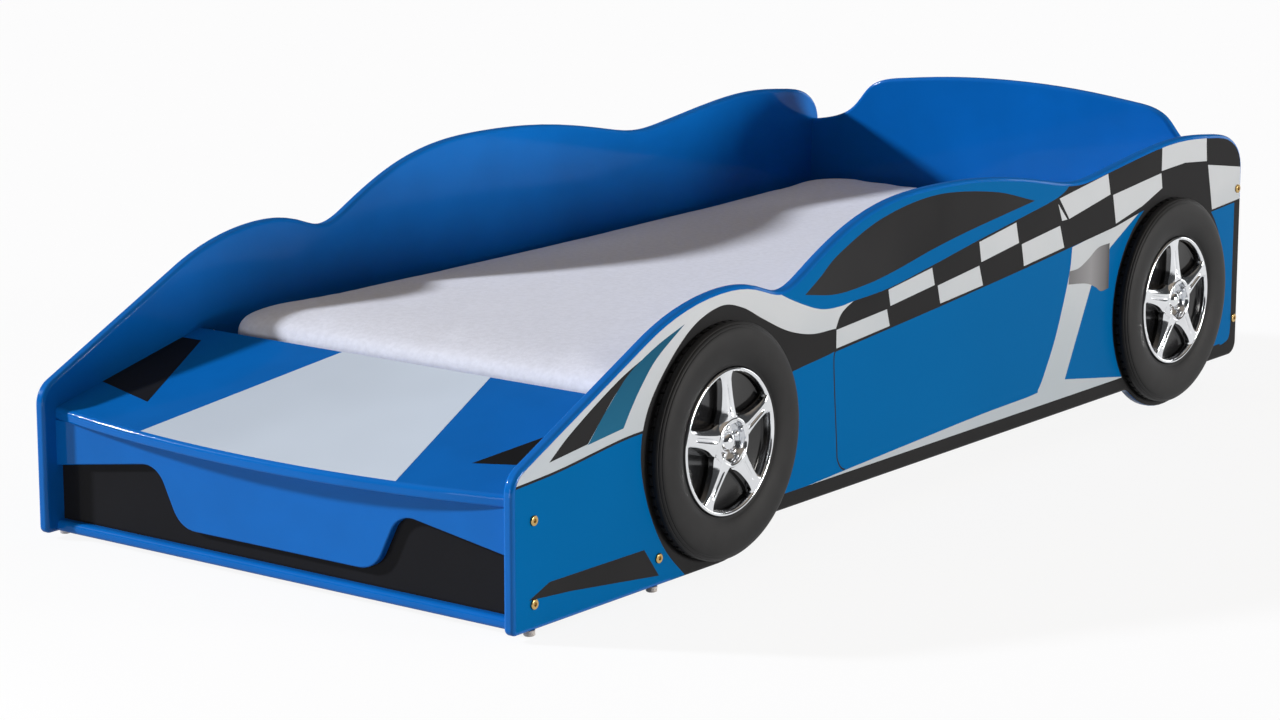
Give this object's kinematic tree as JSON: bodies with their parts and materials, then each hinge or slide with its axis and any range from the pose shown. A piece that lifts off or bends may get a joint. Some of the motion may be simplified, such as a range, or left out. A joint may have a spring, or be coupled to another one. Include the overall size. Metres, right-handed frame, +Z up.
{
  "type": "child's car bed",
  "caption": "Low child's bed shaped like a car: profiled lacquered side boards with dummy spoked wheels, a sloping hood, and a slatted base that carries a lift-out mattress.",
  "frame": {"origin": "on the floor, under the middle of the bed's length and width", "axes": "+Z up, -Y towards the car's nose, +X towards the car's left side"},
  "size_m": [0.812, 1.708, 0.422],
  "materials": {
    "blue_lacquer": "glossy blue lacquer on fibreboard, printed on the outside",
    "black_lacquer": "satin black lacquer on fibreboard",
    "bare_wood": "planed softwood",
    "mattress_cover": "brushed white cotton cover",
    "strap_webbing": "woven polyester webbing",
    "tyre_black": "satin moulded plastic",
    "dish_black": "glossy moulded plastic",
    "rim_chrome": "chromed plastic",
    "brass_bolt": "brass-plated steel",
    "zinc_steel": "zinc-plated steel",
    "glide_plastic": "pale moulded plastic",
    "print_black": "glossy charcoal film on the lacquer",
    "print_silver": "glossy silver-white film on the lacquer",
    "print_teal": "glossy teal film on the lacquer"
  },
  "bodies": {
    "bed_frame": {"barrel_nuts": "zinc_steel", "batten_screws": "zinc_steel", "dowels": "bare_wood", "fascia_screws": "zinc_steel", "foot_panel": "black_lacquer", "front_fascia": "blue_lacquer", "front_panel": "black_lacquer", "front_rail": "blue_lacquer", "glides": "glide_plastic", "hood_batten_left": "bare_wood", "hood_batten_right": "bare_wood", "hood_panel": "blue_lacquer", "hood_screws": "zinc_steel", "hub_cap_front_left": "rim_chrome", "hub_cap_front_right": "rim_chrome", "hub_cap_rear_left": "rim_chrome", "hub_cap_rear_right": "rim_chrome", "ledger_screws": "zinc_steel", "panel_bolts": "brass_bolt", "rail_screws": "zinc_steel", "rear_panel": "blue_lacquer", "rim_dish_front_left": "dish_black", "rim_dish_front_right": "dish_black", "rim_dish_rear_left": "dish_black", "rim_dish_rear_right": "dish_black", "side_panel_left": "blue_lacquer", "side_panel_right": "blue_lacquer", "slat_01": "bare_wood", "slat_02": "bare_wood", "slat_03": "bare_wood", "slat_04": "bare_wood", "slat_05": "bare_wood", "slat_06": "bare_wood", "slat_07": "bare_wood", "slat_08": "bare_wood", "slat_09": "bare_wood", "slat_10": "bare_wood", "slat_11": "bare_wood", "slat_12": "bare_wood", "slat_13": "bare_wood", "slat_14": "bare_wood", "slat_ledger_left": "bare_wood", "slat_ledger_right": "bare_wood", "slat_screws": "zinc_steel", "slat_strap_left": "strap_webbing", "slat_strap_right": "strap_webbing", "strap_tacks": "zinc_steel", "tyre_front_left": "tyre_black", "tyre_front_right": "tyre_black", "tyre_rear_left": "tyre_black", "tyre_rear_right": "tyre_black", "wheel_rim_front_left": "rim_chrome", "wheel_rim_front_right": "rim_chrome", "wheel_rim_rear_left": "rim_chrome", "wheel_rim_rear_right": "rim_chrome", "wheel_screws": "zinc_steel"},
    "mattress": {"mattress": "mattress_cover"}
  },
  "joints": [
    {"name": "mattress_lift", "type": "slide", "parent": "bed_frame", "child": "mattress", "axis": [0, 0, 1], "range_m": [0, 0.5]}
  ]
}
